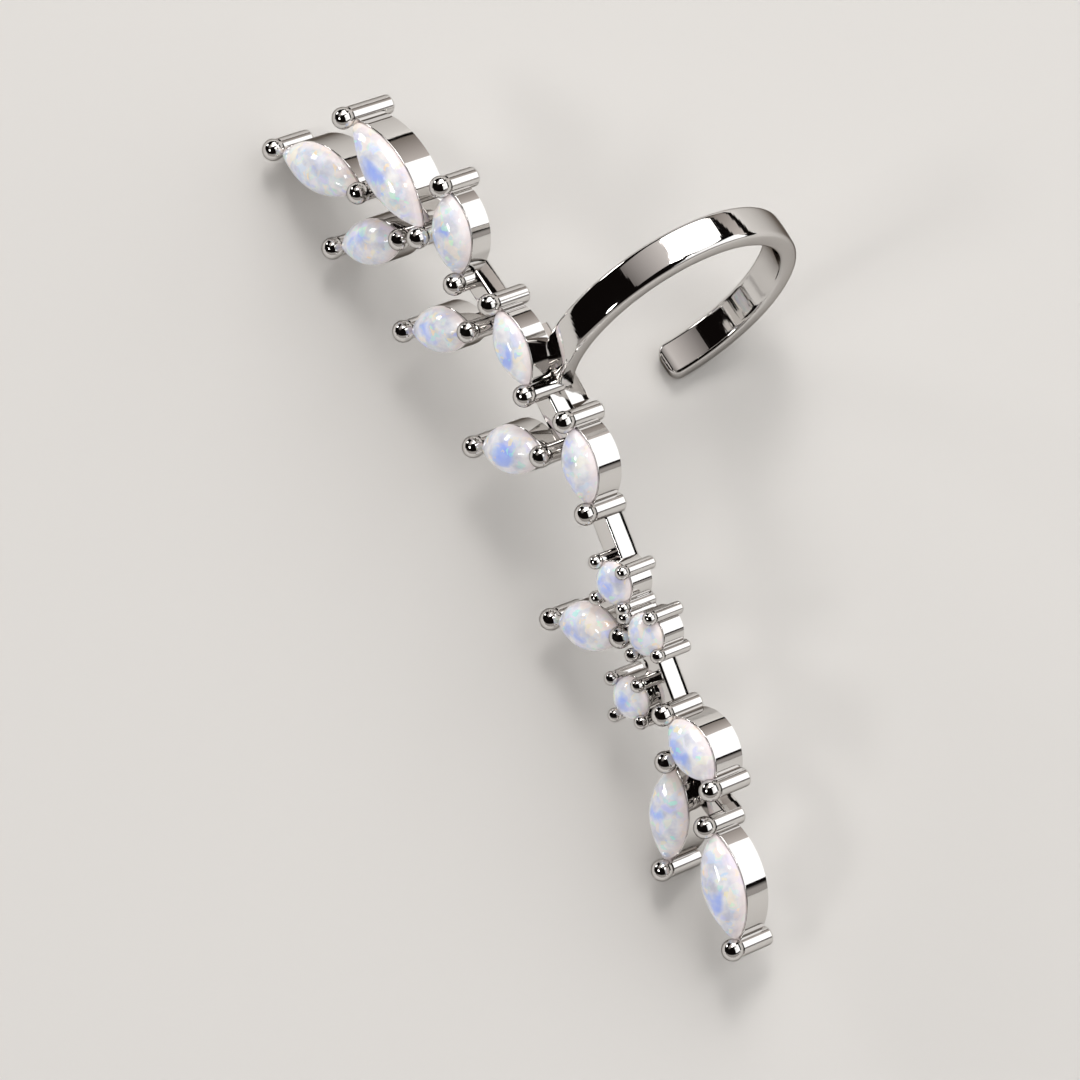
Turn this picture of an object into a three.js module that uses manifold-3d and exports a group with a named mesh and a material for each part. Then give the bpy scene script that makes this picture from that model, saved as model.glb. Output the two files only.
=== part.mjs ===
import * as THREE from "three";
import { mergeVertices } from "three/addons/utils/BufferGeometryUtils.js";
import Module from "manifold-3d";

// An open ear cuff: a spine bar with marquise and round opal settings along it, and an open
// band soldered to its back. Millimetres. While it is built, x runs across the spine, y along
// it towards its top end, and z out through the stones, with z = 0 at the back of the bar.

// Spine bar.
const SPINE_LENGTH = 31.8; // along y, from the lowest setting to the top one
const SPINE_WIDTH = 1.1;
const SPINE_DEPTH = 1.05;
const EDGE = 0.12; // bevel along the bar and the band
const FOOT_DEPTH = 1.0; // thicker length of bar that the band springs from

// Cuff band.
const BAND_SIZE = 12.4; // mean outer size of the band's oval
const BAND_WIDTH = 1.65;
const BAND_THICKNESS = 0.9;
const BAND_START = 114; // degrees round the oval, at the spine
const BAND_END = 401; // degrees round the oval, at the free end

// Marquise settings.
const STONE_LENGTH = 3.75; // common stone, tip to tip
const STONE_WIDTH = 2.15;
const DOME_SHARE = 0.44; // dome height as a share of the stone's width
const GIRDLE_SHARE = 0.79; // girdle's height as a share of the post's
const WALL_THICKNESS = 0.26;
const WALL_WIDTH_SHARE = 0.92; // wall's width as a share of the stone's
const BASE_DEPTH = 0.2; // stone below its girdle, inside the wall
const BASE_SHARE = 0.62;
const POST_HEIGHT = 2.14; // back of the post to the middle of its ball
const POST_RADIUS = 0.45;
const BALL_RADIUS = 0.51;
const POST_INSET = 0.38; // post's axis beyond the stone's tip

// Round settings.
const ROUND_DIAMETER = 2.0;
const ROUND_POST_HEIGHT = 1.85;
const ROUND_POST_RADIUS = 0.3;
const ROUND_BALL_RADIUS = 0.33;
const ROUND_WALL_DIAMETER = 2.08;
const ROUND_WALL_BACK = 0.1; // back edge of the wall as a share of the post's height
const BRIDGE_WIDTH = 0.7; // bar between the spine and the round setting that stands off it
const BRIDGE_TURN = 30; // degrees from square to the spine

const GAP = 0.12; // between a stone and the metal
const OUTLINE_SIDES = 16;
const POST_SIDES = 10;

// The spine's middle line: along is a share of its length, aside a share of its width.
const SPINE_LINE = [
  { along: 0.0, aside: 1.1 },
  { along: 0.04, aside: 0.55 },
  { along: 0.2, aside: 0.45 },
  { along: 0.44, aside: 0.5 },
  { along: 0.55, aside: 0.2 },
  { along: 0.65, aside: -0.3 },
  { along: 0.74, aside: -0.95 },
  { along: 0.84, aside: -1.95 },
  { along: 0.9, aside: -2.9 },
  { along: 0.95, aside: -4.05 },
  { along: 1.0, aside: -5.55 },
];

// Marquise settings from the top down. Each stands with one post on the spine: along is a share
// of the spine's length, aside that post's distance from the bar's middle line as a share of its
// width, and turn the way from it to the outer post in degrees. long, wide and high are shares of
// the common stone and setting, and back is the wall's back edge as a share of the height.
const MARQUISES = [
  { stone: "opal_1", along: 1.0014, aside: -0.01, turn: 144.4, long: 1.36, wide: 1.06, high: 1, back: 0 },
  { stone: "opal_2", along: 0.9077, aside: 0.885, turn: 108, long: 1.55, wide: 1.07, high: 1.28, back: 0.2 },
  { stone: "opal_3", along: 0.9173, aside: -0.79, turn: 169.8, long: 1.11, wide: 1, high: 1, back: 0.15 },
  { stone: "opal_4", along: 0.8289, aside: -0.015, turn: 70.1, long: 0.99, wide: 1, high: 0.94, back: 0.2 },
  { stone: "opal_5", along: 0.7597, aside: -0.815, turn: 165.2, long: 1.01, wide: 1, high: 1, back: 0.25 },
  { stone: "opal_6", along: 0.647, aside: 0.315, turn: 91, long: 0.95, wide: 0.84, high: 1, back: 0.2 },
  { stone: "opal_7", along: 0.5604, aside: -0.52, turn: 160.7, long: 1.01, wide: 1.06, high: 1, back: 0.25 },
  { stone: "opal_8", along: 0.4631, aside: 0.61, turn: 78.6, long: 0.92, wide: 0.88, high: 1, back: 0.12 },
  { stone: "opal_9", along: 0.2859, aside: -0.47, turn: 157.1, long: 1.02, wide: 1.06, high: 0.85, back: 0.15 },
  { stone: "opal_10", along: 0.165, aside: 0.75, turn: -71.5, long: 0.87, wide: 1, high: 1, back: 0 },
  { stone: "opal_11", along: 0.1013, aside: -0.09, turn: -123, long: 1.24, wide: 0.98, high: 1, back: 0.1 },
  { stone: "opal_12", along: -0.0018, aside: 0.1, turn: -102.1, long: 1.31, wide: 1.08, high: 1, back: 0.15 },
];

// Round settings: the middle's place as above, the turn of the first of the four posts, and
// whether a bridge joins it to the spine.
const ROUNDS = [
  { stone: "opal_round_1", along: 0.359, aside: 0.04, turn: 15.5, bridged: false },
  { stone: "opal_round_2", along: 0.277, aside: 0.835, turn: 31, bridged: false },
  { stone: "opal_round_3", along: 0.2, aside: -1.47, turn: 22, bridged: true },
];

// y = 0 lies at this share of the spine's length, where the band springs from it.
const BAND_SHARE = 0.66;

const wasm = await Module();
wasm.setup();

const yAt = (along) => (along - BAND_SHARE) * SPINE_LENGTH;
const xAt = (aside) => aside * SPINE_WIDTH;

const spineCurve = new THREE.CatmullRomCurve3(
  SPINE_LINE.map((row) => new THREE.Vector3(xAt(row.aside), yAt(row.along), 0)),
  false,
  "centripetal",
);

// A place beside the spine's middle line; the line runs on straight past its ends.
function besideSpine(along, aside) {
  const y = yAt(along);
  let [low, high] = [0, 1];
  for (let i = 0; i < 30; i += 1) {
    const middle = (low + high) / 2;
    if (spineCurve.getPoint(middle).y < y) low = middle;
    else high = middle;
  }
  return new THREE.Vector2(spineCurve.getPoint(low).x + xAt(aside), y);
}

function solid(geometry) {
  const plain = geometry.index ? geometry.toNonIndexed() : geometry;
  plain.deleteAttribute("normal");
  plain.deleteAttribute("uv");
  const merged = mergeVertices(plain, 1e-5);
  return new wasm.Manifold(
    new wasm.Mesh({
      numProp: 3,
      vertProperties: new Float32Array(merged.attributes.position.array),
      triVerts: new Uint32Array(merged.index.array),
    }),
  );
}

function place(geometry, x, y, z, turn = 0) {
  geometry.rotateZ(THREE.MathUtils.degToRad(turn));
  return solid(geometry.translate(x, y, z));
}

const join = (solids) => solids.reduce((sum, next) => sum.add(next));

function slab(shape, bottom, top, bevel = 0) {
  const geometry = new THREE.ExtrudeGeometry(shape, {
    depth: top - bottom - 2 * bevel,
    bevelEnabled: bevel > 0,
    bevelThickness: bevel,
    bevelSize: bevel,
    bevelOffset: -bevel,
    bevelSegments: 1,
    steps: 1,
    curveSegments: 1,
  });
  return geometry.translate(0, 0, bottom + bevel);
}

// A marquise outline with pointed ends on the x axis: two arcs of one circle.
function marquise(length, width, sides = OUTLINE_SIDES) {
  const radius = (length * length + width * width) / (4 * width);
  const sweep = Math.asin(length / 2 / radius);
  const half = sides / 2;
  const points = [];
  for (const side of [1, -1]) {
    for (let i = 0; i < half; i += 1) {
      const angle = -sweep + (2 * sweep * i) / half;
      const x = radius * Math.sin(angle);
      const y = radius * Math.cos(angle) - (radius - width / 2);
      points.push(new THREE.Vector2(-side * x, side * y));
    }
  }
  return points;
}

function circle(diameter, sides = OUTLINE_SIDES) {
  return Array.from({ length: sides }, (_, i) => {
    const angle = (2 * Math.PI * i) / sides;
    return new THREE.Vector2(Math.cos(angle), Math.sin(angle)).multiplyScalar(diameter / 2);
  });
}

// A cabochon: a domed top over the girdle and a shallow tapered base under it.
function cabochon(outline, girdle, dome, base) {
  const rows = [
    { height: -base, share: BASE_SHARE },
    { height: 0, share: 1 },
    { height: dome * 0.5, share: 0.86 },
    { height: dome * 0.82, share: 0.57 },
  ];
  const count = outline.length;
  const position = [];
  const index = [];
  for (const row of rows) {
    for (const point of outline) {
      position.push(point.x * row.share, point.y * row.share, girdle + row.height);
    }
  }
  for (let r = 0; r + 1 < rows.length; r += 1) {
    for (let i = 0; i < count; i += 1) {
      const j = (i + 1) % count;
      const [a, b, c, d] = [i, j, j + count, i + count].map((k) => r * count + k);
      index.push(a, b, c, a, c, d);
    }
  }
  const bottom = position.length / 3;
  position.push(0, 0, girdle - base, 0, 0, girdle + dome);
  const last = (rows.length - 1) * count;
  for (let i = 0; i < count; i += 1) {
    const j = (i + 1) % count;
    index.push(bottom, j, i, bottom + 1, last + i, last + j);
  }
  const geometry = new THREE.BufferGeometry();
  geometry.setAttribute("position", new THREE.Float32BufferAttribute(position, 3));
  geometry.setIndex(index);
  return geometry;
}

// A round post with a ball on its front end, turned about z.
function post(radius, ball, height) {
  const neck = Math.acos(Math.min(1, radius / ball));
  const points = [new THREE.Vector2(0, 0), new THREE.Vector2(radius, 0)];
  const rows = 4;
  for (let i = 0; i <= rows; i += 1) {
    const angle = -neck + ((Math.PI / 2 + neck) * i) / rows;
    const across = i === rows ? 0 : ball * Math.cos(angle);
    points.push(new THREE.Vector2(across, height + ball * Math.sin(angle)));
  }
  return new THREE.LatheGeometry(points, POST_SIDES).rotateX(Math.PI / 2);
}

function wall(outer, inner, back, front) {
  const shape = new THREE.Shape(outer);
  shape.holes.push(new THREE.Path(inner));
  return slab(shape, back, front);
}

// One marquise setting: its metal, its stone and the stone's seat grown by the gap.
function marquiseSetting(row) {
  const length = STONE_LENGTH * row.long;
  const width = STONE_WIDTH * row.wide;
  const height = POST_HEIGHT * row.high;
  const girdle = height * GIRDLE_SHARE;
  const reach = length / 2 + POST_INSET;
  const turn = THREE.MathUtils.degToRad(row.turn);
  const inner = besideSpine(row.along, row.aside);
  const outer = new THREE.Vector2(Math.cos(turn), Math.sin(turn)).multiplyScalar(2 * reach);
  outer.add(inner);
  const middle = inner.clone().lerp(outer, 0.5);
  const wallWidth = width * WALL_WIDTH_SHARE;
  const shape = wall(
    marquise(length + POST_INSET / 2, wallWidth),
    marquise(length - 3 * WALL_THICKNESS, wallWidth - 2 * WALL_THICKNESS),
    height * row.back,
    girdle - GAP,
  );
  const metal = [place(shape, middle.x, middle.y, 0, row.turn)];
  for (const at of [inner, outer]) {
    metal.push(place(post(POST_RADIUS, BALL_RADIUS, height), at.x, at.y, 0));
  }
  const dome = width * DOME_SHARE;
  const stone = cabochon(marquise(length, width), girdle, dome, BASE_DEPTH);
  const seat = cabochon(
    marquise(length + 3 * GAP, width + 2 * GAP), girdle, dome + GAP, BASE_DEPTH + GAP,
  );
  return {
    metal,
    stone: place(stone, middle.x, middle.y, 0, row.turn),
    seat: place(seat, middle.x, middle.y, 0, row.turn),
  };
}

function roundSetting(row) {
  const middle = besideSpine(row.along, row.aside);
  const girdle = ROUND_POST_HEIGHT * GIRDLE_SHARE;
  const back = ROUND_POST_HEIGHT * ROUND_WALL_BACK;
  const reach = ROUND_DIAMETER / 2 + ROUND_POST_RADIUS * 0.75;
  const outer = circle(ROUND_WALL_DIAMETER);
  const inner = circle(ROUND_WALL_DIAMETER - 2.6 * WALL_THICKNESS);
  const ring = wall(outer, inner, back, girdle - GAP);
  const metal = [place(ring, middle.x, middle.y, 0)];
  if (row.bridged) metal.push(bridge(row, middle));
  for (let i = 0; i < 4; i += 1) {
    const angle = THREE.MathUtils.degToRad(row.turn + 90 * i);
    const x = middle.x + reach * Math.cos(angle);
    const y = middle.y + reach * Math.sin(angle);
    metal.push(place(post(ROUND_POST_RADIUS, ROUND_BALL_RADIUS, ROUND_POST_HEIGHT), x, y, 0));
  }
  const dome = ROUND_DIAMETER * 0.36;
  const stone = cabochon(circle(ROUND_DIAMETER), girdle, dome, BASE_DEPTH);
  const seat = cabochon(
    circle(ROUND_DIAMETER + 2 * GAP), girdle, dome + GAP, BASE_DEPTH + GAP,
  );
  return {
    metal,
    stone: place(stone, middle.x, middle.y, 0),
    seat: place(seat, middle.x, middle.y, 0),
  };
}

// A bar of even width along part of the spine's middle line, between two depths.
function bar(from, to, back, front, count) {
  const left = [];
  const right = [];
  for (let i = 0; i <= count; i += 1) {
    const share = from + ((to - from) * i) / count;
    const point = spineCurve.getPointAt(share);
    const tangent = spineCurve.getTangentAt(share);
    const half = SPINE_WIDTH / 2;
    left.push(new THREE.Vector2(point.x - tangent.y * half, point.y + tangent.x * half));
    right.push(new THREE.Vector2(point.x + tangent.y * half, point.y - tangent.x * half));
  }
  return solid(slab(new THREE.Shape([...right, ...left.reverse()]), back, front, EDGE));
}

// The open band: an oval strip in its own plane, which leans a little from the spine. Its
// start is soldered to the foot behind the spine.
const BAND_AXIS = new THREE.Vector3(0.393, -0.917, 0.063).normalize();
const BAND_TURN = 21.3; // degrees from straight back to the oval's shorter half axis
const BAND_OVAL = 0.03; // half axes differ from the mean by this share
const BAND_SPRING = { along: 0.6457, aside: -0.885, depth: 1.086 }; // depth in feet's depths

function ovalPoint(degrees, inset) {
  const angle = THREE.MathUtils.degToRad(degrees);
  const short = (BAND_SIZE / 2) * (1 - BAND_OVAL) - inset;
  const long = (BAND_SIZE / 2) * (1 + BAND_OVAL) - inset;
  return new THREE.Vector2(short * Math.cos(angle), -long * Math.sin(angle));
}

function bandFrame() {
  const back = new THREE.Vector3(0, 0, -1);
  back.addScaledVector(BAND_AXIS, -back.dot(BAND_AXIS)).normalize();
  const across = new THREE.Vector3().crossVectors(back, BAND_AXIS);
  const turn = THREE.MathUtils.degToRad(BAND_TURN);
  const first = back.clone().multiplyScalar(Math.cos(turn)).addScaledVector(across, Math.sin(turn));
  const second = new THREE.Vector3().crossVectors(BAND_AXIS, first);
  const start = ovalPoint(BAND_START, BAND_THICKNESS / 2);
  const spring = besideSpine(BAND_SPRING.along, BAND_SPRING.aside);
  const middle = new THREE.Vector3(spring.x, spring.y, -BAND_SPRING.depth * FOOT_DEPTH)
    .addScaledVector(first, -start.x)
    .addScaledVector(second, -start.y);
  return new THREE.Matrix4().makeBasis(first, second, BAND_AXIS).setPosition(middle);
}

function band() {
  const count = 36;
  const points = [];
  for (const inset of [0, BAND_THICKNESS]) {
    for (let i = 0; i <= count; i += 1) {
      const step = inset ? count - i : i;
      points.push(ovalPoint(BAND_START + ((BAND_END - BAND_START) * step) / count, inset));
    }
  }
  const strip = slab(new THREE.Shape(points), -BAND_WIDTH / 2, BAND_WIDTH / 2, EDGE);
  return solid(strip.applyMatrix4(bandFrame()));
}

// A short bar from inside the setting's wall into the spine.
function bridge(row, middle) {
  const start = ROUND_DIAMETER / 4;
  const end = Math.abs(xAt(row.aside)) + BRIDGE_WIDTH / 5;
  const half = BRIDGE_WIDTH / 2;
  const shape = new THREE.Shape([
    new THREE.Vector2(start, -half),
    new THREE.Vector2(end, -half),
    new THREE.Vector2(end, half),
    new THREE.Vector2(start, half),
  ]);
  const back = ROUND_POST_HEIGHT * ROUND_WALL_BACK;
  return place(slab(shape, back, SPINE_DEPTH - EDGE), middle.x, middle.y, 0, BRIDGE_TURN);
}

const polishedMetal = new THREE.MeshStandardMaterial({
  color: 0xd9d7d4,
  roughness: 0.08,
  metalness: 1,
});
const opal = new THREE.MeshStandardMaterial({ color: 0xdcdcec, roughness: 0.12, metalness: 0 });

function mesh(name, body, material) {
  const found = body.getMesh();
  const geometry = new THREE.BufferGeometry();
  geometry.setAttribute("position", new THREE.Float32BufferAttribute(found.vertProperties, 3));
  geometry.setIndex(new THREE.Uint32BufferAttribute(found.triVerts, 1));
  geometry.computeVertexNormals();
  const made = new THREE.Mesh(geometry, material);
  made.name = name;
  return made;
}

const settings = [
  ...MARQUISES.map((row) => ({ row, made: marquiseSetting(row) })),
  ...ROUNDS.map((row) => ({ row, made: roundSetting(row) })),
];
const frame = [
  bar(0, 1, 0, SPINE_DEPTH, 24),
  bar(0.61, 0.73, -FOOT_DEPTH, SPINE_DEPTH / 5, 4),
  band(),
];
const metal = join([...frame, ...settings.flatMap((setting) => setting.made.metal)]);
const seats = join(settings.map((setting) => setting.made.seat));

const cuff = new THREE.Group();
cuff.add(mesh("metal_mount", metal.subtract(seats), polishedMetal));
for (const { row, made } of settings) cuff.add(mesh(row.stone, made.stone, opal));

// The cuff lies on a flat surface by itself, on three points: the back ends of the outermost
// posts of a top leaf and a bottom leaf, and the band's free end.
const LEAN = new THREE.Vector3(-0.815, -0.186, -0.548); // roughly down, refined below
const bandMiddle = new THREE.Vector3().setFromMatrixPosition(bandFrame());
const CONTACTS = [
  (point) => point.y > SPINE_LENGTH * 0.3,
  (point) => point.y < -SPINE_LENGTH * 0.5,
  (point) => point.z < bandMiddle.z && point.x < bandMiddle.x,
];

function restingTurn(geometry) {
  const at = geometry.attributes.position;
  const point = (_, i) => new THREE.Vector3().fromBufferAttribute(at, i);
  const points = Array.from({ length: at.count }, point);
  const groups = CONTACTS.map((test) => points.filter(test));
  const down = LEAN.clone().normalize();
  for (let i = 0; i < 6; i += 1) {
    const [a, b, c] = groups.map((group) =>
      group.reduce((best, next) => (next.dot(down) > best.dot(down) ? next : best)),
    );
    const normal = new THREE.Vector3().crossVectors(b.clone().sub(a), c.clone().sub(a)).normalize();
    down.copy(normal.multiplyScalar(Math.sign(normal.dot(down))));
  }
  const up = down.clone().negate();
  const along = new THREE.Vector3(0, 1, 0);
  along.addScaledVector(up, -along.dot(up)).normalize();
  const across = new THREE.Vector3().crossVectors(along, up);
  return new THREE.Quaternion().setFromRotationMatrix(
    new THREE.Matrix4().makeBasis(across, along, up).transpose(),
  );
}

cuff.quaternion.copy(restingTurn(cuff.children[0].geometry));
const box = new THREE.Box3().setFromObject(cuff, true);
const middle = box.getCenter(new THREE.Vector3());
cuff.position.set(-middle.x, -middle.y, -box.min.z);

export default cuff;
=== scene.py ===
import math

import bmesh
import bpy
from mathutils import Matrix, Vector


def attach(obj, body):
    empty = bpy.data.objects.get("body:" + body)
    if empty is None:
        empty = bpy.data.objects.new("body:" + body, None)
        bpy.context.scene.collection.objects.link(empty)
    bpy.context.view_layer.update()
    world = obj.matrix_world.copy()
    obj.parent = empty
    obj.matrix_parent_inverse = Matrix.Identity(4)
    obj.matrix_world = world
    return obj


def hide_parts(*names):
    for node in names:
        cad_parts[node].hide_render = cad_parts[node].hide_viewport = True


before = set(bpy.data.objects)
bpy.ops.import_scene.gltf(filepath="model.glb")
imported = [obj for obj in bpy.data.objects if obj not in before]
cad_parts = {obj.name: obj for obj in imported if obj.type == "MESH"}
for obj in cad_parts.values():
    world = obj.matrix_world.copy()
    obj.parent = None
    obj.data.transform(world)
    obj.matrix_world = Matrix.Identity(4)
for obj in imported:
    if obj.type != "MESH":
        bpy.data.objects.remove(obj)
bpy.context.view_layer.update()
scene = bpy.context.scene

# Spine: a square silver bar with softened edges, bent in one curve that turns to the left at
# its top end. A thicker foot soldered behind its upper half carries the cuff band. All the
# metal is rhodium plated and polished to a mirror.

# Sizes are in millimetres, in the cuff's own frame: x across the spine, y along it towards
# its top end, z out through the stones, with z = 0 at the back of the bar. PLACE lays that
# frame on the surface, in metres.
UP = Vector((0.8141448, 0.1845553, 0.5505521))
ALONG = (Vector((0, 1, 0)) - UP * UP.y).normalized()
ACROSS = ALONG.cross(UP)
TURN = Matrix((ACROSS, ALONG, UP))
ORIGIN = Vector((-1.852318, 5.375095, 6.599430))
PLACE = Matrix.Scale(0.001, 4) @ Matrix.Translation(ORIGIN) @ TURN.to_4x4()

SPINE_LENGTH = 31.8
SPINE_WIDTH = 1.1
SPINE_DEPTH = 1.05
SPINE_EDGE = 0.12
SPINE_STEPS = 120
BAND_SHARE = 0.66  # y = 0 at this share of the length
FOOT_START, FOOT_END = 0.61, 0.73  # shares of the length
FOOT_DEPTH = 1.0
FOOT_OVERLAP = SPINE_DEPTH / 5  # how far the foot reaches into the bar
FOOT_STEPS = 16
SHORT_WAY = 0.004  # share of the length to each side, over which the line's direction is taken
METAL_CREASE = 50  # degrees between two faces, past which their edge is sharp
# The spine's middle line: share of the length, and share of the width to the right.
SPINE_LINE = (
    (0.0, 1.1),
    (0.04, 0.55),
    (0.2, 0.45),
    (0.44, 0.5),
    (0.55, 0.2),
    (0.65, -0.3),
    (0.74, -0.95),
    (0.84, -1.95),
    (0.9, -2.9),
    (0.95, -4.05),
    (1.0, -5.55),
)


def srgb(code):
    channels = [int(code[i : i + 2], 16) / 255 for i in (1, 3, 5)]
    linear = [c / 12.92 if c <= 0.04045 else ((c + 0.055) / 1.055) ** 2.4 for c in channels]
    return (*linear, 1.0)


def grey(value):
    return (value, value, value, 1.0)


# One node with its settings and links. A ramp's stops are listed with its two ends first.
def add(tree, kind, inputs=None, stops=None, **settings):
    node = tree.nodes.new(kind)
    for key, value in settings.items():
        setattr(node, key, value)
    for key, value in (inputs or {}).items():
        if isinstance(value, bpy.types.NodeSocket):
            tree.links.new(value, node.inputs[key])
        else:
            node.inputs[key].default_value = value
    for i, (position, colour) in enumerate(stops or ()):
        elements = node.color_ramp.elements
        element = elements[i] if i < 2 else elements.new(position)
        element.position, element.color = position, colour
    return node


def new_material(name):
    material = bpy.data.materials.new(name)
    material.use_nodes = True
    tree = material.node_tree
    return material, tree, tree.nodes["Principled BSDF"]


def y_at(share):
    return (share - BAND_SHARE) * SPINE_LENGTH


# The smooth curve through the rows of SPINE_LINE.
def spine_point(share):
    count = len(SPINE_LINE)
    k = max(i for i in range(count - 1) if SPINE_LINE[i][0] <= max(share, 0))
    span = SPINE_LINE[k + 1][0] - SPINE_LINE[k][0]
    t = (share - SPINE_LINE[k][0]) / span
    slopes = []
    for i in (k, k + 1):
        low, high = SPINE_LINE[max(i - 1, 0)], SPINE_LINE[min(i + 1, count - 1)]
        slopes.append((high[1] - low[1]) / (high[0] - low[0]) * span)
    aside = (
        SPINE_LINE[k][1] * (2 * t**3 - 3 * t**2 + 1)
        + slopes[0] * (t**3 - 2 * t**2 + t)
        + SPINE_LINE[k + 1][1] * (3 * t**2 - 2 * t**3)
        + slopes[1] * (t**3 - t**2)
    )
    return Vector((aside * SPINE_WIDTH, y_at(share), 0))


# A flat rectangle with rounded corners.
def rounded_face(bm, width, height, radius):
    made = bmesh.ops.create_grid(bm, x_segments=1, y_segments=1, size=0.5)["verts"]
    bmesh.ops.scale(bm, vec=(width, height, 1), verts=made)
    cut = bmesh.ops.bevel(
        bm,
        geom=made,
        offset=radius,
        offset_type="OFFSET",
        segments=5,
        profile=0.5,
        affect="VERTICES",
        material=-1,
    )
    return cut["verts"][0].link_faces[0]


# Carries a face from station to station and leaves a skin behind it.
def sweep(bm, face, stations):
    bmesh.ops.transform(bm, matrix=stations[0], verts=list(face.verts))
    for before, after in zip(stations, stations[1:]):
        first_step = before is stations[0]
        made = bmesh.ops.extrude_face_region(bm, geom=[face], use_keep_orig=first_step)
        face = next(g for g in made["geom"] if isinstance(g, bmesh.types.BMFace))
        bmesh.ops.transform(bm, matrix=after @ before.inverted(), verts=list(face.verts))


def finish_piece(name, bm, material, crease):
    bmesh.ops.recalc_face_normals(bm, faces=bm.faces)
    bm.transform(PLACE)
    mesh = bpy.data.meshes.new(name)
    bm.to_mesh(mesh)
    bm.free()
    mesh.materials.append(material)
    mesh.polygons.foreach_set("use_smooth", [True] * len(mesh.polygons))
    mesh.set_sharp_from_angle(angle=math.radians(crease))
    piece = bpy.data.objects.new(name, mesh)
    scene.collection.objects.link(piece)
    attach(piece, "root")
    return piece


def sweep_bar(bm, start, end, back, front, steps):
    stations = []
    for i in range(steps + 1):
        share = start + (end - start) * i / steps
        ahead = spine_point(min(share + SHORT_WAY, 1)) - spine_point(share - SHORT_WAY)
        ahead.normalize()
        side = Vector((ahead.y, -ahead.x, 0))
        basis = Matrix((side, Vector((0, 0, 1)), -ahead)).transposed().to_4x4()
        middle = spine_point(share) + Vector((0, 0, (back + front) / 2))
        stations.append(Matrix.Translation(middle) @ basis)
    sweep(bm, rounded_face(bm, SPINE_WIDTH, front - back, SPINE_EDGE), stations)


# Rhodium over silver: a cold bright white, almost no roughness, darker where it turns away
# from the eye. Hand polishing leaves slow waves about 5 mm long, and wear a fine haze in
# patches of about 0.4 mm.
WAVES_PER_METRE = 190.0
WAVE_HEIGHT = 0.00005  # in metres
HAZE_PER_METRE = 2600.0
metal, tree, shader = new_material("mirror polished rhodium plate")
place = add(tree, "ShaderNodeTexCoord")
waves = add(
    tree,
    "ShaderNodeTexNoise",
    {"Vector": place.outputs["Object"], "Scale": WAVES_PER_METRE, "Detail": 1.0},
)
bump = add(
    tree,
    "ShaderNodeBump",
    {"Height": waves.outputs["Fac"], "Strength": 1.0, "Distance": WAVE_HEIGHT},
)
haze = add(
    tree,
    "ShaderNodeTexNoise",
    {"Vector": place.outputs["Object"], "Scale": HAZE_PER_METRE, "Detail": 4.0},
)
gloss = add(
    tree,
    "ShaderNodeValToRGB",
    {"Fac": haze.outputs["Fac"]},
    [(0.3, grey(0.025)), (0.75, grey(0.06))],
)
tree.links.new(gloss.outputs["Color"], shader.inputs["Roughness"])
tree.links.new(bump.outputs["Normal"], shader.inputs["Normal"])
shader.inputs["Base Color"].default_value = srgb("#E3E1DF")
shader.inputs["Metallic"].default_value = 1.0
shader.inputs["Specular Tint"].default_value = srgb("#6A625C")

bm = bmesh.new()
sweep_bar(bm, 0, 1, 0, SPINE_DEPTH, SPINE_STEPS)
sweep_bar(bm, FOOT_START, FOOT_END, -FOOT_DEPTH, FOOT_OVERLAP, FOOT_STEPS)
spine = finish_piece("spine", bm, metal, METAL_CREASE)
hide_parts("metal_mount")


# Cuff band: a flat silver strip with softened edges, bent to an open oval that goes round the
# edge of the ear. Its start is soldered to the spine's foot, and its free end is rounded off.
BAND_SIZE = 12.4  # mean outer size of the oval
BAND_OVAL = 0.03  # its half axes differ from the mean by this share
BAND_WIDTH = 1.65
BAND_THICKNESS = 0.9
BAND_EDGE = 0.16
BAND_START, BAND_END = 114, 401  # degrees round the oval, at the spine and the free end
BAND_STEPS = 300
BAND_MIDDLE = Vector((2.715, 0.974, -5.156))
BAND_AXIS = Vector((0.393, -0.917, 0.063)).normalized()
BAND_TURN = math.radians(21.3)  # from straight back to the shorter half axis
BAND_CROWN = 0.045  # rise of the outer face's middle over its edges
CROWN_CUTS = 11
END_RADIUS = 0.5  # of the free end's corners
END_SOFTENING = 0.2  # how far each face of the band comes in there
END_STEPS = 10

straight_back = Vector((0, 0, -1))
straight_back = (straight_back - BAND_AXIS * straight_back.dot(BAND_AXIS)).normalized()
sideways = straight_back.cross(BAND_AXIS)
short_axis = straight_back * math.cos(BAND_TURN) + sideways * math.sin(BAND_TURN)
long_axis = BAND_AXIS.cross(short_axis)
short = BAND_SIZE / 2 * (1 - BAND_OVAL) - BAND_THICKNESS / 2
long = BAND_SIZE / 2 * (1 + BAND_OVAL) - BAND_THICKNESS / 2


def band_station(degrees, narrower, thinner):
    angle = math.radians(degrees)
    middle = BAND_MIDDLE + short_axis * short * math.cos(angle) - long_axis * long * math.sin(angle)
    outward = short_axis * math.cos(angle) / short - long_axis * math.sin(angle) / long
    outward.normalize()
    basis = Matrix((BAND_AXIS, outward, BAND_AXIS.cross(outward))).transposed().to_4x4()
    shares = (1 - 2 * narrower / BAND_WIDTH, 1 - 2 * thinner / BAND_THICKNESS)
    size = Matrix.Diagonal((*shares, 1, 1))
    return Matrix.Translation(middle) @ basis @ size


# The band's section, with its outer face crowned across its width.
def crowned_face(bm):
    face = rounded_face(bm, BAND_WIDTH, BAND_THICKNESS, BAND_EDGE)
    flats = [e for e in face.edges if e.calc_length() > BAND_WIDTH / 2]
    bmesh.ops.subdivide_edges(bm, edges=flats, cuts=CROWN_CUTS)
    face = bmesh.ops.dissolve_faces(bm, faces=bm.faces[:])["region"][0]
    for corner in face.verts:
        if corner.co.y > 0:
            corner.co.y -= BAND_CROWN * (2 * corner.co.x / BAND_WIDTH) ** 2
    return face


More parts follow.
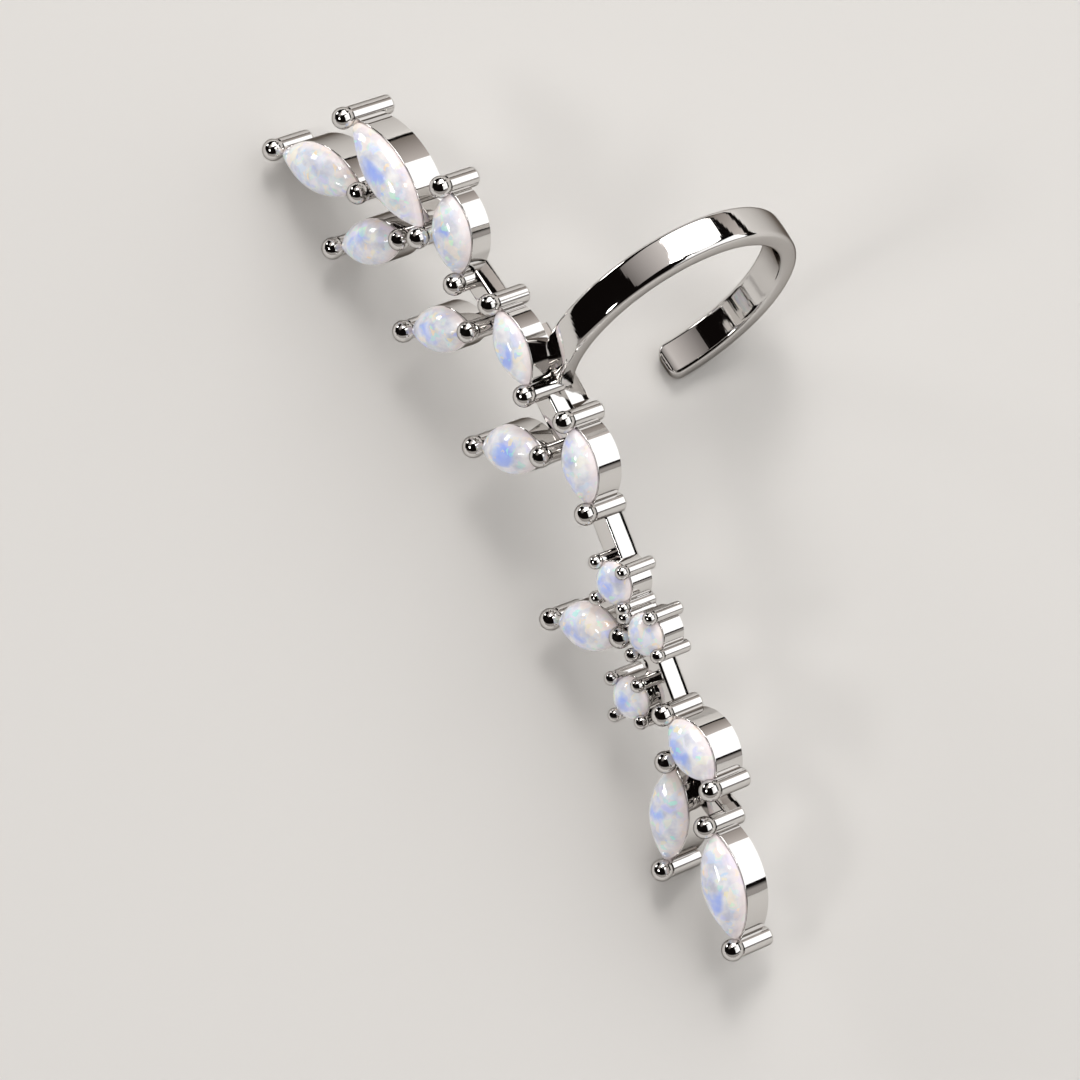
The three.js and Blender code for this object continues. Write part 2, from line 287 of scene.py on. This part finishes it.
rounding = math.degrees(END_RADIUS / (BAND_SIZE / 2))
stop = BAND_END - rounding
stations = []
for i in range(BAND_STEPS + 1):
    stations.append(band_station(BAND_START + (stop - BAND_START) * i / BAND_STEPS, 0, 0))
for i in range(1, END_STEPS + 1):
    angle = math.pi / 2 * i / END_STEPS
    shrink = 1 - math.cos(angle)
    at = stop + rounding * math.sin(angle)
    stations.append(band_station(at, END_RADIUS * shrink, END_SOFTENING * shrink))
bm = bmesh.new()
sweep(bm, crowned_face(bm), stations)
band = finish_piece("cuff_band", bm, metal, METAL_CREASE)
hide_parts("metal_mount")


# Marquise settings: each is a basket wall of strip bent to the stone's outline, and two round
# posts at its tips whose front ends are melted to balls that hold the stone down.
STONE_LENGTH = 3.75  # of the common stone, tip to tip
STONE_WIDTH = 2.15
GIRDLE_SHARE = 0.79  # girdle's height as a share of the post's
OUTLINE_STEPS = 32  # along each side of a stone or a wall
WALL_THICKNESS = 0.26
WALL_RIM = 0.035  # rounding of the wall's front edge
RIM_ROUNDING = ((0.15, 0.3), (0.6, 0.0))  # two rings: drawn in, below the front edge
RIM_RING = 0.03  # a ring this far below the rounding keeps the wall's side straight
POST_HEIGHT = 2.14  # back of the post to the middle of its ball
POST_RADIUS = 0.45
BALL_RADIUS = 0.51
POST_INSET = 0.38  # post's axis beyond the stone's tip
POST_SIDES = 32
# The rounded foot of a post: how far it is drawn in, at which height.
POST_FOOT = ((0.12, 0.0), (0.05, 0.03), (0.012, 0.075), (0.0, 0.13), (0.0, 0.17))
NECK_DEPTH = 0.03  # groove between a post and its ball
NECK_RINGS = (0.08, 0.04)  # rings this far below the groove keep the post's side straight
BALL_RINGS = 15
BALL_SPAN = 14.4  # steps between rings up to the ball's very tip, which a small face closes
SEAT_GAP = 0.07  # between a wall's front edge and the girdle
# Node, x, y, turn in degrees, and shares: of the common stone's length and width, of the
# common height, and of this height where the wall starts.
MARQUISES = (
    ("opal_1", -8.5, 12.561, -35.6, 1.36, 1.06, 1.0, 0.0),
    ("opal_2", -3.4, 11.003, -72.0, 1.55, 1.07, 1.28, 0.2),
    ("opal_3", -6.87, 8.618, -10.2, 1.11, 1.0, 1.0, 0.15),
    ("opal_4", -1.25, 7.473, -109.9, 0.99, 1.0, 0.94, 0.2),
    ("opal_5", -4.33, 3.752, -14.8, 1.01, 1.0, 1.0, 0.25),
    ("opal_6", 0.0, 1.749, -89.0, 0.95, 0.84, 1.0, 0.2),
    ("opal_7", -2.54, -2.417, -19.3, 1.01, 1.06, 1.0, 0.25),
    ("opal_8", 1.6, -4.198, -101.4, 0.92, 0.88, 1.0, 0.12),
    ("opal_9", -2.1, -11.003, -22.9, 1.02, 1.06, 0.85, 0.15),
    ("opal_10", 1.95, -17.649, -71.5, 0.87, 1.0, 1.0, 0.0),
    ("opal_11", -1.12, -20.034, -123.0, 1.24, 0.98, 1.0, 0.1),
    ("opal_12", 0.73, -23.818, -102.1, 1.31, 1.08, 1.0, 0.15),
)


# A pointed oval: two arcs of one circle, each spun from a tip.
def marquise_face(bm, length, width):
    radius = (length * length + width * width) / (4 * width)
    arc = 2 * math.asin(length / 2 / radius)
    for side in (1, -1):
        tip = bm.verts.new((side * length / 2, 0, 0))
        bmesh.ops.spin(
            bm,
            geom=[tip],
            cent=(0, -side * (radius - width / 2), 0),
            axis=(0, 0, 1),
            angle=arc,
            steps=OUTLINE_STEPS,
            use_merge=False,
        )
    loose = [v for v in bm.verts if not v.link_faces]
    bmesh.ops.remove_doubles(bm, verts=loose, dist=1e-4)
    edges = [e for e in bm.edges if not e.link_faces]
    return bmesh.ops.contextual_create(bm, geom=edges)["faces"][0]


def circle_face(bm, diameter, sides):
    made = bmesh.ops.create_circle(bm, cap_ends=True, segments=sides, radius=diameter / 2)
    return made["verts"][0].link_faces[0]


def add_post(bm, x, y, radius, ball, height, sides):
    neck = math.acos((radius - NECK_DEPTH) / ball)
    low = height - ball * math.sin(neck)
    rows = [(radius - drawn_in, z) for drawn_in, z in POST_FOOT]
    rows += [(radius, low - drop) for drop in NECK_RINGS]
    for i in range(BALL_RINGS):
        angle = -neck + (math.pi / 2 + neck) * i / BALL_SPAN
        rows.append((ball * math.cos(angle), height + ball * math.sin(angle)))
    stations = [Matrix.Translation((x, y, z)) @ Matrix.Diagonal((r, r, 1, 1)) for r, z in rows]
    sweep(bm, circle_face(bm, 2, sides), stations)


# A wall is drawn up from its outline, in over its rim and down inside. A share of None stands
# for the inner outline.
def add_wall(bm, face, place, inner, back, front):
    steps = [(1.0, back), (1.0, front - WALL_RIM - RIM_RING), (1.0, front - WALL_RIM)]
    steps += [(1 - WALL_RIM * drawn_in, front - WALL_RIM * low) for drawn_in, low in RIM_ROUNDING]
    steps += [(None, front), (None, back)]
    edges = list(face.edges)
    bmesh.ops.delete(bm, geom=[face], context="FACES_ONLY")
    bottom = edges
    before = Matrix.Identity(4)
    for i, (share, z) in enumerate(steps):
        scale = inner if share is None else (share, share)
        after = place @ Matrix.Translation((0, 0, z)) @ Matrix.Diagonal((*scale, 1, 1))
        if i:
            made = bmesh.ops.extrude_edge_only(bm, edges=edges)["geom"]
            edges = [g for g in made if isinstance(g, bmesh.types.BMEdge)]
        verts = list({v for e in edges for v in e.verts})
        bmesh.ops.transform(bm, matrix=after @ before.inverted(), verts=verts)
        before = after
    bmesh.ops.bridge_loops(bm, edges=edges + bottom)


bm = bmesh.new()
for _, x, y, turn, long_share, wide_share, high, back in MARQUISES:
    length, width = STONE_LENGTH * long_share, STONE_WIDTH * wide_share
    height = POST_HEIGHT * high
    reach = length / 2 + POST_INSET
    outer = (length + POST_INSET / 2, width)
    inner = (length - 3 * WALL_THICKNESS, width - 2 * WALL_THICKNESS)
    place = Matrix.Translation((x, y, 0)) @ Matrix.Rotation(math.radians(turn), 4, "Z")
    shares = (inner[0] / outer[0], inner[1] / outer[1])
    front = height * GIRDLE_SHARE - SEAT_GAP
    add_wall(bm, marquise_face(bm, *outer), place, shares, height * back, front)
    for end in (-1, 1):
        at = place @ Vector((end * reach, 0, 0))
        add_post(bm, at.x, at.y, POST_RADIUS, BALL_RADIUS, height, POST_SIDES)
marquise_settings = finish_piece("marquise_settings", bm, metal, METAL_CREASE)
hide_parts("metal_mount")


# Round settings: a short tube under each stone and four thinner ball-tipped posts soldered
# round it. A short bar bridges the gap between the lowest one and the spine.
ROUND_DIAMETER = 2.0  # of the stones
ROUND_SIDES = 48
ROUND_POST_HEIGHT = 1.85
ROUND_POST_RADIUS = 0.3
ROUND_POST_OVERLAP = 0.75  # share of the post's radius from the stone's edge to its axis
ROUND_POST_SIDES = 24
ROUND_BALL_RADIUS = 0.33
ROUND_WALL_SHARE = 1.03  # wall's outer size as a share of the stone's
ROUND_WALL_BACK = 0.1  # back edge of the wall as a share of the post's height
BRIDGE_WIDTH = 0.7
BRIDGE_EDGE = 0.1
BRIDGE_TURN = math.radians(30)
BRIDGE_REACHES = (0.6, 1.2, 1.75)  # from the stone's middle, the last inside the spine
# Node, x, y, turn of the first post in degrees.
ROUNDS = (
    ("opal_round_1", 0.61, -9.572, 15.5),
    ("opal_round_2", 1.44, -12.179, 31.0),
    ("opal_round_3", -1.12, -14.628, 22.0),
)

bm = bmesh.new()
reach = ROUND_DIAMETER / 2 + ROUND_POST_RADIUS * ROUND_POST_OVERLAP
outer = ROUND_DIAMETER * ROUND_WALL_SHARE
share = 1 - 2 * WALL_THICKNESS / outer
back = ROUND_POST_HEIGHT * ROUND_WALL_BACK
front = ROUND_POST_HEIGHT * GIRDLE_SHARE - SEAT_GAP
for _, x, y, turn in ROUNDS:
    place = Matrix.Translation((x, y, 0))
    add_wall(bm, circle_face(bm, outer, ROUND_SIDES), place, (share, share), back, front)
    for i in range(4):
        angle = math.radians(turn + 90 * i)
        at = Vector((x + reach * math.cos(angle), y + reach * math.sin(angle)))
        sizes = (ROUND_POST_RADIUS, ROUND_BALL_RADIUS, ROUND_POST_HEIGHT)
        add_post(bm, at.x, at.y, *sizes, ROUND_POST_SIDES)
_, x, y, _ = ROUNDS[2]
ahead = Vector((math.cos(BRIDGE_TURN), math.sin(BRIDGE_TURN), 0))
basis = Matrix((Vector((-ahead.y, ahead.x, 0)), Vector((0, 0, 1)), ahead)).transposed().to_4x4()
height = SPINE_DEPTH - SPINE_EDGE - back
start = Vector((x, y, back + height / 2))
stations = [Matrix.Translation(start + ahead * out) @ basis for out in BRIDGE_REACHES]
sweep(bm, rounded_face(bm, BRIDGE_WIDTH, height, BRIDGE_EDGE), stations)
round_settings = finish_piece("round_settings", bm, metal, METAL_CREASE)
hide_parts("metal_mount")


# Opals: cabochons cut with a polished dome over a thin girdle and a shallow flat base, twelve
# marquise and three round. Each lies on its wall's edge under the balls of its posts.
DOME_SHARE = 0.44  # dome's height as a share of the stone's width
ROUND_DOME_SHARE = 0.36
DOME_STEPS = 16
BASE_DEPTH = 0.2
BASE_SHARE = 0.62  # of the outline, at the flat base
GIRDLE_EDGE = (0.97, -0.04)  # share of the outline and depth just under the girdle
OPAL_CREASE = 60  # degrees

# White opal: milky and translucent, with a painted glow in the stones' own colour that keeps
# them bright where the lamps don't reach. Soft fire in blue, violet, green and peach runs in
# patches about 0.5 mm across, with clear blue flashes of about 1 mm in the dome, yellow and green
# flecks of about 0.2 mm and a thin warm rim. The rim map runs from 0 at the top of the dome to
# 1 at the girdle.
PATCHES_PER_METRE = 2100.0
FLASHES_PER_METRE = 850.0
FLECKS_PER_METRE = 4600.0
CLOUDS_PER_METRE = 1500.0
CURLS_PER_METRE = 1400.0
CURL_REACH = 0.0007  # the most that the patches are pushed about, in metres
opal, tree, shader = new_material("polished white opal with painted glow")
place = add(tree, "ShaderNodeTexCoord")
rim_map = add(tree, "ShaderNodeUVMap", uv_map="rim")
rim = add(tree, "ShaderNodeSeparateXYZ", {"Vector": rim_map.outputs["UV"]})
curls = add(
    tree,
    "ShaderNodeTexNoise",
    {"Vector": place.outputs["Object"], "Scale": CURLS_PER_METRE, "Detail": 3.0},
)
curled = add(
    tree,
    "ShaderNodeMixRGB",
    {"Fac": CURL_REACH, "Color1": place.outputs["Object"], "Color2": curls.outputs["Color"]},
    blend_type="ADD",
)
cells = add(
    tree,
    "ShaderNodeTexVoronoi",
    {"Vector": curled.outputs["Color"], "Scale": PATCHES_PER_METRE, "Smoothness": 0.5},
    feature="SMOOTH_F1",
)
tone = add(tree, "ShaderNodeSeparateColor", {"Color": cells.outputs["Color"]})
fire = add(
    tree,
    "ShaderNodeValToRGB",
    {"Fac": tone.outputs["Red"]},
    [
        (0.0, srgb("#A3B8FF")),
        (1.0, srgb("#F6E6E2")),
        (0.2, srgb("#D9D6FA")),
        (0.36, srgb("#C4E2F8")),
        (0.5, srgb("#EEE8F4")),
        (0.64, srgb("#D6F2EA")),
        (0.8, srgb("#FBEFD6")),
    ],
)
cloud = add(
    tree,
    "ShaderNodeTexNoise",
    {"Vector": place.outputs["Object"], "Scale": CLOUDS_PER_METRE, "Detail": 3.0},
)
milk = add(
    tree,
    "ShaderNodeValToRGB",
    {"Fac": cloud.outputs["Fac"]},
    [(0.35, srgb("#C6C8D6")), (0.68, srgb("#F0EFEF"))],
)
patch = add(
    tree,
    "ShaderNodeValToRGB",
    {"Fac": tone.outputs["Green"]},
    [(0.35, grey(0.05)), (0.85, grey(0.65))],
)
body = add(
    tree,
    "ShaderNodeMixRGB",
    {
        "Fac": patch.outputs["Color"],
        "Color1": milk.outputs["Color"],
        "Color2": fire.outputs["Color"],
    },
)
flash = add(
    tree,
    "ShaderNodeTexNoise",
    {"Vector": curled.outputs["Color"], "Scale": FLASHES_PER_METRE, "Detail": 2.0},
)
inside = add(
    tree,
    "ShaderNodeValToRGB",
    {"Fac": rim.outputs["X"]},
    [(0.45, grey(1.0)), (0.9, grey(0.0))],
)
flash_share = add(
    tree,
    "ShaderNodeMath",
    {0: flash.outputs["Fac"], 1: inside.outputs["Color"]},
    operation="MULTIPLY",
)
flash_mask = add(
    tree,
    "ShaderNodeValToRGB",
    {"Fac": flash_share.outputs["Value"]},
    [(0.43, grey(0.0)), (0.67, grey(0.7))],
)
flashed = add(
    tree,
    "ShaderNodeMixRGB",
    {
        "Fac": flash_mask.outputs["Color"],
        "Color1": body.outputs["Color"],
        "Color2": srgb("#84A8FF"),
    },
)
flecks = add(
    tree,
    "ShaderNodeTexVoronoi",
    {"Vector": curled.outputs["Color"], "Scale": FLECKS_PER_METRE},
    feature="F1",
)
fleck = add(tree, "ShaderNodeSeparateColor", {"Color": flecks.outputs["Color"]})
spark = add(
    tree,
    "ShaderNodeValToRGB",
    {"Fac": fleck.outputs["Red"]},
    [
        (0.0, srgb("#8FF0E4")),
        (1.0, srgb("#FFD9A0")),
        (0.3, srgb("#C9FBD2")),
        (0.5, srgb("#9CC4FF")),
        (0.7, srgb("#FFF0A8")),
    ],
)
spark_mask = add(
    tree,
    "ShaderNodeValToRGB",
    {"Fac": fleck.outputs["Green"]},
    [(0.84, grey(0.0)), (0.96, grey(0.55))],
)
sparked = add(
    tree,
    "ShaderNodeMixRGB",
    {
        "Fac": spark_mask.outputs["Color"],
        "Color1": flashed.outputs["Color"],
        "Color2": spark.outputs["Color"],
    },
)
edge = add(
    tree,
    "ShaderNodeValToRGB",
    {"Fac": rim.outputs["X"]},
    [(0.84, grey(0.0)), (1.0, grey(0.7))],
)
coloured = add(
    tree,
    "ShaderNodeMixRGB",
    {
        "Fac": edge.outputs["Color"],
        "Color1": sparked.outputs["Color"],
        "Color2": srgb("#E6D6D2"),
    },
)
tree.links.new(coloured.outputs["Color"], shader.inputs["Base Color"])
# Painted glow: the stone's colour is also given off as light, which keeps it bright on its shaded
# side.
tree.links.new(coloured.outputs["Color"], shader.inputs["Emission Color"])
shader.inputs["Emission Strength"].default_value = 0.23
shader.inputs["Roughness"].default_value = 0.05
shader.inputs["Subsurface Weight"].default_value = 0.15
shader.inputs["Subsurface Radius"].default_value = (1.0, 0.9, 0.95)
shader.inputs["Subsurface Scale"].default_value = 0.0003  # in metres
shader.inputs["Coat Weight"].default_value = 0.6
shader.inputs["Coat Roughness"].default_value = 0.03


def cut_opal(name, outline, size, place, girdle, dome):
    bm = bmesh.new()
    rows = [(BASE_SHARE, -BASE_DEPTH), GIRDLE_EDGE, (1.0, 0.0)]
    for i in range(1, DOME_STEPS):
        share = math.cos(math.pi / 2 * i / DOME_STEPS)
        rows.append((share, dome * (1 - share**2) ** 0.5))
    stations = []
    for share, z in rows:
        scale = Matrix.Diagonal((share, share, 1, 1))
        stations.append(Matrix.Translation((0, 0, girdle + z)) @ scale)
    sweep(bm, outline(bm), stations)
    plan = bm.loops.layers.uv.new("UVMap")
    ring = bm.loops.layers.uv.new("rim")
    for face in bm.faces:
        for loop in face.loops:
            co = loop.vert.co
            loop[plan].uv = (co.x / size + 0.5, co.y / size + 0.5)
            rise = co.z - girdle
            share = 1 - (rise / dome) ** 2 if rise > 0 else 1 + rise
            loop[ring].uv = (max(share, 0) ** 0.5, 0.5)
    bm.transform(place)
    piece = finish_piece(name, bm, opal, OPAL_CREASE)
    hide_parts(name)


for node, x, y, turn, long_share, wide_share, high, _ in MARQUISES:
    length, width = STONE_LENGTH * long_share, STONE_WIDTH * wide_share
    cut_opal(
        node,
        lambda bm: marquise_face(bm, length, width),
        length,
        Matrix.Translation((x, y, 0)) @ Matrix.Rotation(math.radians(turn), 4, "Z"),
        POST_HEIGHT * high * GIRDLE_SHARE,
        width * DOME_SHARE,
    )
for node, x, y, _ in ROUNDS:
    cut_opal(
        node,
        lambda bm: circle_face(bm, ROUND_DIAMETER, ROUND_SIDES),
        ROUND_DIAMETER,
        Matrix.Translation((x, y, 0)),
        ROUND_POST_HEIGHT * GIRDLE_SHARE,
        ROUND_DIAMETER * ROUND_DOME_SHARE,
    )


# Camera: a long lens over the surface, turned so that the spine runs from the top left of the
# picture to its lower right. Its place is in millimetres, in the cuff's own frame.
STANDPOINT = Vector((234.412, -6.62, 187.247))
camera_data = bpy.data.cameras.new("camera")
camera_data.sensor_width = 36
camera_data.lens = 225
camera_data.clip_start = 0.01
camera_data.clip_end = 10
camera = bpy.data.objects.new("camera", camera_data)
right = TURN @ Vector((0.57668, -0.35021, -0.73811))
up = TURN @ Vector((0.21560, 0.93667, -0.27596))
backward = TURN @ Vector((0.78801, 0.0, 0.61566))
basis = Matrix((right, up, backward)).transposed().to_4x4()
camera.matrix_world = Matrix.Translation(0.001 * (ORIGIN + TURN @ STANDPOINT)) @ basis
scene.collection.objects.link(camera)
scene.camera = camera


# Surface and light: a plain pale matt floor in a dark studio. A round soft box and three
# glowing panels stand round the picture's top and right, small boxes on both sides glint in
# the opals, and a large weak one overhead only lightens the shadows.
floor_material, tree, shader = new_material("pale matt floor")
shader.inputs["Base Color"].default_value = srgb("#DBD9D6")
shader.inputs["Roughness"].default_value = 0.8
shader.inputs["Specular IOR Level"].default_value = 0.2
bm = bmesh.new()
bmesh.ops.create_grid(bm, x_segments=1, y_segments=1, size=1.5)
floor_mesh = bpy.data.meshes.new("floor")
bm.to_mesh(floor_mesh)
bm.free()
floor_mesh.materials.append(floor_material)
floor = bpy.data.objects.new("floor", floor_mesh)
scene.collection.objects.link(floor)

AIM = Vector((0, 0, 0.006))  # middle of the cuff, in metres
LAMP_DISTANCE = 0.7
PANEL_DISTANCE = 0.95


# A direction by the picture: to its right, up in it, and out of it towards the camera.
def in_picture(x, y, z):
    return (right * x + up * y + backward * z).normalized()


# Width and height are shares of the distance, and radiance doesn't depend on them.
def soft_box(name, towards, width, height, radiance, shape="RECTANGLE"):
    data = bpy.data.lights.new(name, "AREA")
    data.shape = shape
    data.size, data.size_y = width * LAMP_DISTANCE, height * LAMP_DISTANCE
    data.energy = radiance * math.pi * data.size * data.size_y
    data.color = srgb("#FFFDFB")[:3]
    lamp = bpy.data.objects.new(name, data)
    offset = in_picture(*towards) * LAMP_DISTANCE
    facing = offset.to_track_quat("Z", "Y").to_matrix().to_4x4()
    lamp.matrix_world = Matrix.Translation(AIM + offset) @ facing
    scene.collection.objects.link(lamp)
    return lamp


# A glowing sheet, whose stops run from its first and last corner to the other two.
def panel(name, corners, stops):
    material, tree, shader = new_material(name)
    place = add(tree, "ShaderNodeUVMap", uv_map="UVMap")
    across = add(tree, "ShaderNodeSeparateXYZ", {"Vector": place.outputs["UV"]})
    glow = add(tree, "ShaderNodeValToRGB", {"Fac": across.outputs["X"]}, stops)
    lit = add(tree, "ShaderNodeEmission", {"Color": glow.outputs["Color"], "Strength": 2.0})
    tree.links.new(lit.outputs["Emission"], tree.nodes["Material Output"].inputs["Surface"])
    bm = bmesh.new()
    made = [bm.verts.new(AIM + in_picture(*corner) * PANEL_DISTANCE) for corner in corners]
    face = bmesh.ops.contextual_create(bm, geom=made)["faces"][0]
    layer = bm.loops.layers.uv.new("UVMap")
    for loop in face.loops:
        loop[layer].uv = (0.0, 0.0) if made.index(loop.vert) in (0, 3) else (1.0, 0.0)
    mesh = bpy.data.meshes.new(name)
    bm.to_mesh(mesh)
    bm.free()
    mesh.materials.append(material)
    sheet = bpy.data.objects.new(name, mesh)
    scene.collection.objects.link(sheet)


soft_box("soft_box_top", (0.16, 0.87, 0.46), 0.8, 0.8, 2.1, "DISK")
soft_box("soft_box_left", (-0.78, 0.6, 0.17), 0.3, 0.16, 9.0)
soft_box("small_box_above", (0.0, 0.7, 0.7), 0.2, 0.36, 8.0)
soft_box("soft_box_lower_left", (-0.7, -0.14, 0.68), 0.26, 0.15, 12.0)
soft_box("small_box_right", (0.4, 0.3, 0.87), 0.08, 0.12, 10.0)
fill = soft_box("fill_overhead", (0.1, 0.3, 0.95), 1.6, 1.6, 0.6)
fill.visible_glossy = False
panel(
    "wide_panel_right",
    ((0.36, 0.45, 0.82), (0.62, 0.76, 0.08), (0.98, -0.02, 0.14), (0.5, -0.5, 0.75)),
    [(0.0, grey(0.55)), (1.0, grey(0.75))],
)
panel(
    "panel_upper_left",
    ((-0.68, 0.46, 0.57), (-0.2, 0.9, 0.4), (0.02, 0.62, 0.78), (-0.48, 0.22, 0.85)),
    [(0.0, srgb("#565250")), (1.0, srgb("#ABA6A3"))],
)
panel(
    "low_panel_upper_right",
    ((0.74, 0.66, 0.16), (0.3, 0.95, 0.08), (0.3, 0.95, -0.17), (0.74, 0.66, 0.0)),
    [(0.0, srgb("#A7A19D")), (1.0, srgb("#514A44"))],
)

# The room is dark on the side of the lamps and pale opposite to it.
DARK_SIDE = in_picture(-0.09, 0.72, 0.69)
world = bpy.data.worlds.new("studio")
scene.world = world
world.use_nodes = True
tree = world.node_tree
way = add(tree, "ShaderNodeTexCoord")
nearness = add(
    tree,
    "ShaderNodeVectorMath",
    {0: way.outputs["Generated"], 1: DARK_SIDE},
    operation="DOT_PRODUCT",
)
shift = add(tree, "ShaderNodeMath", {0: nearness.outputs["Value"], 1: 0.5}, operation="ADD")
room = add(
    tree,
    "ShaderNodeValToRGB",
    {"Fac": shift.outputs["Value"]},
    [(0.38, srgb("#A5A09C")), (0.45, srgb("#0E0B0A"))],
)
tree.links.new(room.outputs["Color"], tree.nodes["Background"].inputs["Color"])
tree.nodes["Background"].inputs["Strength"].default_value = 1.0
scene.view_settings.view_transform = "Standard"
